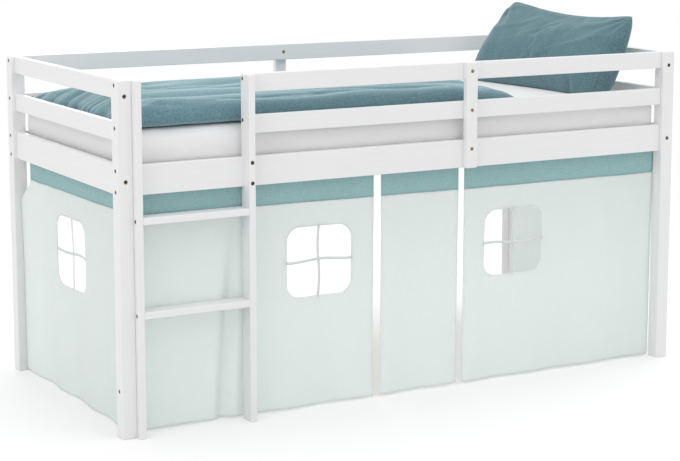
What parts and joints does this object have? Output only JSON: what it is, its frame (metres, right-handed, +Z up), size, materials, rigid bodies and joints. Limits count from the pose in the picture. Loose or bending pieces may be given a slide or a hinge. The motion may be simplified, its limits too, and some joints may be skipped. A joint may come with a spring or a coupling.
{
  "type": "half-high bed with curtains",
  "caption": "White lacquered children's bed on tall square posts with guard rails, a bolted front ladder, slats, mattress, duvet, pillow and hanging curtains around the play space below.",
  "frame": {"origin": "on the floor at the middle of the footprint, ladder and rear stile included", "axes": "+X along the bed towards the pillow end, +Y from the ladder side to the rear, +Z up"},
  "size_m": [2.09, 1.012, 1.2147],
  "materials": {
    "white_lacquer": "satin white lacquer on pine",
    "bronzed_bolt": "bronzed steel",
    "zinc": "zinc plated",
    "bare_pine": "planed, untreated",
    "webbing": "woven strap",
    "white_cover": "white cotton sheet",
    "teal_cloth": "washed cotton",
    "pillow_cloth": "washed cotton",
    "mint_cloth": "plain cotton",
    "ribbon": "woven ribbon",
    "hook_tape": "hook-and-loop tape"
  },
  "bodies": {
    "frame": {"front_left_post": "white_lacquer", "front_right_post": "white_lacquer", "rear_left_post": "white_lacquer", "rear_right_post": "white_lacquer", "front_top_guard_rail": "white_lacquer", "front_lower_guard_rail": "white_lacquer", "front_side_rail": "white_lacquer", "rear_top_guard_rail": "white_lacquer", "rear_lower_guard_rail": "white_lacquer", "rear_side_rail": "white_lacquer", "left_top_guard_rail": "white_lacquer", "left_lower_guard_rail": "white_lacquer", "left_side_rail": "white_lacquer", "right_top_guard_rail": "white_lacquer", "right_lower_guard_rail": "white_lacquer", "right_side_rail": "white_lacquer", "front_guard_stile": "white_lacquer", "rear_guard_stile": "white_lacquer", "ladder_left_upright": "white_lacquer", "ladder_right_upright": "white_lacquer", "lower_rung": "white_lacquer", "upper_rung": "white_lacquer", "front_batten": "white_lacquer", "rear_batten": "white_lacquer", "post_bolts": "bronzed_bolt", "ladder_post_bolts": "bronzed_bolt", "ladder_bolts": "bronzed_bolt", "ladder_rail_bolts": "bronzed_bolt", "stile_bolts": "bronzed_bolt", "barrel_nuts": "zinc", "insert_nuts": "zinc", "batten_screws": "zinc", "dowels": "bare_pine", "slats": "bare_pine", "slat_webbing": "webbing", "front_left_header": "teal_cloth", "front_middle_header": "teal_cloth", "front_right_header": "teal_cloth", "left_end_header": "teal_cloth", "right_end_header": "teal_cloth", "front_hook_tape": "hook_tape", "left_hook_tape": "hook_tape", "right_hook_tape": "hook_tape"},
    "front_left_curtain": {"front_left_curtain": "mint_cloth", "front_left_window_ribbon": "ribbon"},
    "front_middle_curtain": {"front_middle_curtain": "mint_cloth"},
    "front_right_curtain": {"front_right_curtain": "mint_cloth", "front_right_window_ribbon": "ribbon"},
    "left_end_curtain": {"left_end_curtain": "mint_cloth", "left_end_window_ribbon": "ribbon"},
    "right_end_curtain": {"right_end_curtain": "mint_cloth", "right_end_window_ribbon": "ribbon"},
    "mattress": {"mattress": "white_cover"},
    "duvet": {"duvet": "teal_cloth"},
    "pillow": {"pillow": "pillow_cloth"}
  },
  "joints": [
    {"name": "front_left_curtain_swing", "type": "hinge", "parent": "frame", "child": "front_left_curtain", "pos_m": [-0.568, -0.4465, 0.6672], "axis": [1, 0, 0], "range_deg": [0, 60]},
    {"name": "front_middle_curtain_swing", "type": "hinge", "parent": "frame", "child": "front_middle_curtain", "pos_m": [0.0285, -0.4465, 0.6672], "axis": [1, 0, 0], "range_deg": [-75, 60]},
    {"name": "front_right_curtain_swing", "type": "hinge", "parent": "frame", "child": "front_right_curtain", "pos_m": [0.594, -0.4465, 0.6672], "axis": [1, 0, 0], "range_deg": [-75, 60]},
    {"name": "left_end_curtain_swing", "type": "hinge", "parent": "frame", "child": "left_end_curtain", "pos_m": [-1.008, 0.0065, 0.6672], "axis": [0, 1, 0], "range_deg": [0, 75]},
    {"name": "right_end_curtain_swing", "type": "hinge", "parent": "frame", "child": "right_end_curtain", "pos_m": [1.008, 0.0065, 0.6672], "axis": [0, -1, 0], "range_deg": [0, 75]},
    {"name": "mattress_lift", "type": "slide", "parent": "frame", "child": "mattress", "axis": [0, 0, 1], "range_m": [0, 0.3]},
    {"name": "duvet_lift", "type": "slide", "parent": "mattress", "child": "duvet", "axis": [0, 0, 1], "range_m": [0, 0.25]},
    {"name": "pillow_lift", "type": "slide", "parent": "mattress", "child": "pillow", "axis": [0, 0, 1], "range_m": [0, 0.25]}
  ]
}
